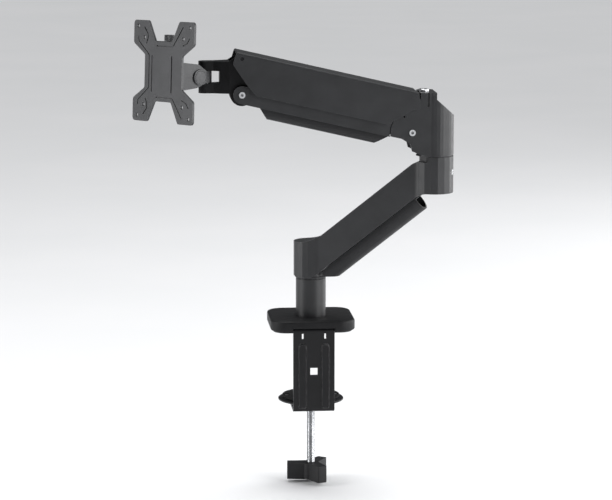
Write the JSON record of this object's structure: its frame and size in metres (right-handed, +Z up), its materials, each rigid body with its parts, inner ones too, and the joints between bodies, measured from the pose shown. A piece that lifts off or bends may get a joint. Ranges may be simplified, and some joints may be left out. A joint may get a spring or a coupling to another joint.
{
  "type": "monitor arm",
  "caption": "Desk-clamped monitor arm: C-clamp and post, folding lower arm, gas-sprung parallelogram upper arm, and a panning, tilting, rotating VESA plate.",
  "frame": {"origin": "on the desk surface, on the post's axis, at the underside of the base pad", "axes": "+Z up along the post, +Y from the desk's edge in over the desk, -Y towards the clamp's back plate"},
  "size_m": [0.3642, 0.1927, 0.5491],
  "materials": {
    "coat": "fine-textured satin black powder coat",
    "head_paint": "smoother satin black paint on cast and pressed metal",
    "cover_plastic": "moulded black plastic with a fine grain",
    "steel": "zinc-plated and turned bright steel",
    "rubber": "matt black rubber sheet",
    "nylon": "dark grey bearing nylon"
  },
  "bodies": {
    "base": {"desk_pad": "rubber", "base_plate": "coat", "base_cover": "cover_plastic", "post": "coat", "post_spindle": "steel", "post_bolt": "steel", "post_washer": "nylon", "clamp_bracket": "coat", "bracket_screw_left": "steel", "bracket_screw_right": "steel", "clamp_nut": "steel"},
    "clamp_disc": {"pressure_disc": "coat", "pressure_pad": "rubber", "disc_rivet_left": "steel", "disc_rivet_right": "steel"},
    "clamp_screw": {"clamp_rod": "steel", "clamp_knob": "cover_plastic"},
    "lower_arm": {"lower_arm_casting": "coat", "base_sleeve": "nylon", "elbow_sleeve": "nylon", "lower_cable_cover": "cover_plastic", "elbow_set_screw": "steel"},
    "elbow": {"elbow_housing": "coat", "elbow_spindle": "steel", "elbow_washer": "nylon", "tension_block": "steel", "elbow_pin_lower": "steel", "elbow_pin_upper": "steel"},
    "tension_bolt": {"tension_bolt": "steel"},
    "lower_link": {"lower_link_channel": "coat", "under_cover": "cover_plastic", "upper_cable_cover": "cover_plastic", "head_pin_lower": "steel"},
    "upper_link": {"upper_link_cover": "coat", "head_pin_upper": "coat", "strut_pin": "steel"},
    "strut_cylinder": {"strut_cylinder": "coat"},
    "strut_rod": {"strut_rod": "steel"},
    "head_bracket": {"head_bracket": "head_paint", "pan_pin": "steel"},
    "tilt_block": {"tilt_block": "head_paint"},
    "carrier": {"plate_carrier": "head_paint", "tilt_axle": "steel", "tilt_cap_left": "head_paint", "tilt_cap_right": "head_paint"},
    "vesa_plate": {"plate_stud": "steel", "plate_nut": "steel", "friction_washer": "nylon", "slide_plate": "coat", "vesa_plate": "head_paint"},
    "thumbscrew": {"release_thumbscrew": "head_paint"}
  },
  "joints": [
    {"name": "clamp_travel", "type": "slide", "parent": "base", "child": "clamp_disc", "axis": [0, 0, 1], "range_m": [-0.001, 0.066]},
    {"name": "clamp_screw_turn", "type": "hinge", "parent": "clamp_disc", "child": "clamp_screw", "pos_m": [0, 0, -0.09], "axis": [0, 0, 1], "range_deg": [-241, 15841]},
    {"name": "base_swivel", "type": "hinge", "parent": "base", "child": "lower_arm", "pos_m": [0, 0, 0.08], "axis": [0, 0, 1], "range_deg": [-180, 180]},
    {"name": "elbow_swivel", "type": "hinge", "parent": "lower_arm", "child": "elbow", "pos_m": [0.13566, -0.0604, 0.2095], "axis": [0, 0, 1], "range_deg": [-20, 320]},
    {"name": "arm_tilt", "type": "hinge", "parent": "elbow", "child": "lower_link", "pos_m": [0.10786, -0.0604, 0.2366], "axis": [0, 1, 0], "range_deg": [-45, 27]},
    {"name": "upper_link_swing", "type": "hinge", "parent": "elbow", "child": "upper_link", "pos_m": [0.10786, -0.0604, 0.2776], "axis": [0, 1, 0], "range_deg": [-46, 28]},
    {"name": "head_level", "type": "hinge", "parent": "lower_link", "child": "head_bracket", "pos_m": [-0.08448, -0.0604, 0.28101], "axis": [0, 1, 0], "range_deg": [-28, 46]},
    {"name": "strut_front_eye", "type": "hinge", "parent": "upper_link", "child": "strut_cylinder", "pos_m": [-0.04099, -0.0604, 0.29965], "axis": [0, 1, 0], "range_deg": [-4, 6]},
    {"name": "strut_rear_eye", "type": "hinge", "parent": "elbow", "child": "strut_rod", "pos_m": [0.12286, -0.0604, 0.252], "axis": [0, 1, 0], "range_deg": [-42, 26]},
    {"name": "tension_turn", "type": "hinge", "parent": "elbow", "child": "tension_bolt", "pos_m": [0.12286, -0.0604, 0.283], "axis": [0, 0, 1], "range_deg": [-1800, 1800]},
    {"name": "head_pan", "type": "hinge", "parent": "head_bracket", "child": "tilt_block", "pos_m": [-0.12488, -0.0604, 0.3013], "axis": [0, 0, 1], "range_deg": [-112.6, 47.4]},
    {"name": "head_tilt", "type": "hinge", "parent": "tilt_block", "child": "carrier", "pos_m": [-0.14105, -0.07075, 0.3013], "axis": [-0.5388, 0.8425, 0], "range_deg": [-45, 45]},
    {"name": "plate_rotate", "type": "hinge", "parent": "carrier", "child": "vesa_plate", "pos_m": [-0.17105, -0.08993, 0.30875], "axis": [-0.8408, -0.5377, 0.0628], "range_deg": [-180, 180]},
    {"name": "thumbscrew_turn", "type": "hinge", "parent": "vesa_plate", "child": "thumbscrew", "pos_m": [-0.16559, -0.08501, 0.34274], "axis": [0.0341, 0.0632, 0.9974], "range_deg": [0, 1440]}
  ],
  "couplings": [
    {"joint": "clamp_screw_turn", "follows": "clamp_travel", "rad_per_m": 4188.8},
    {"joint": "upper_link_swing", "follows": "arm_tilt", "ratio": 1},
    {"joint": "head_level", "follows": "arm_tilt", "ratio": -1},
    {"joint": "strut_front_eye", "follows": "arm_tilt", "ratio": -0.105},
    {"joint": "strut_rear_eye", "follows": "arm_tilt", "ratio": 0.895}
  ]
}
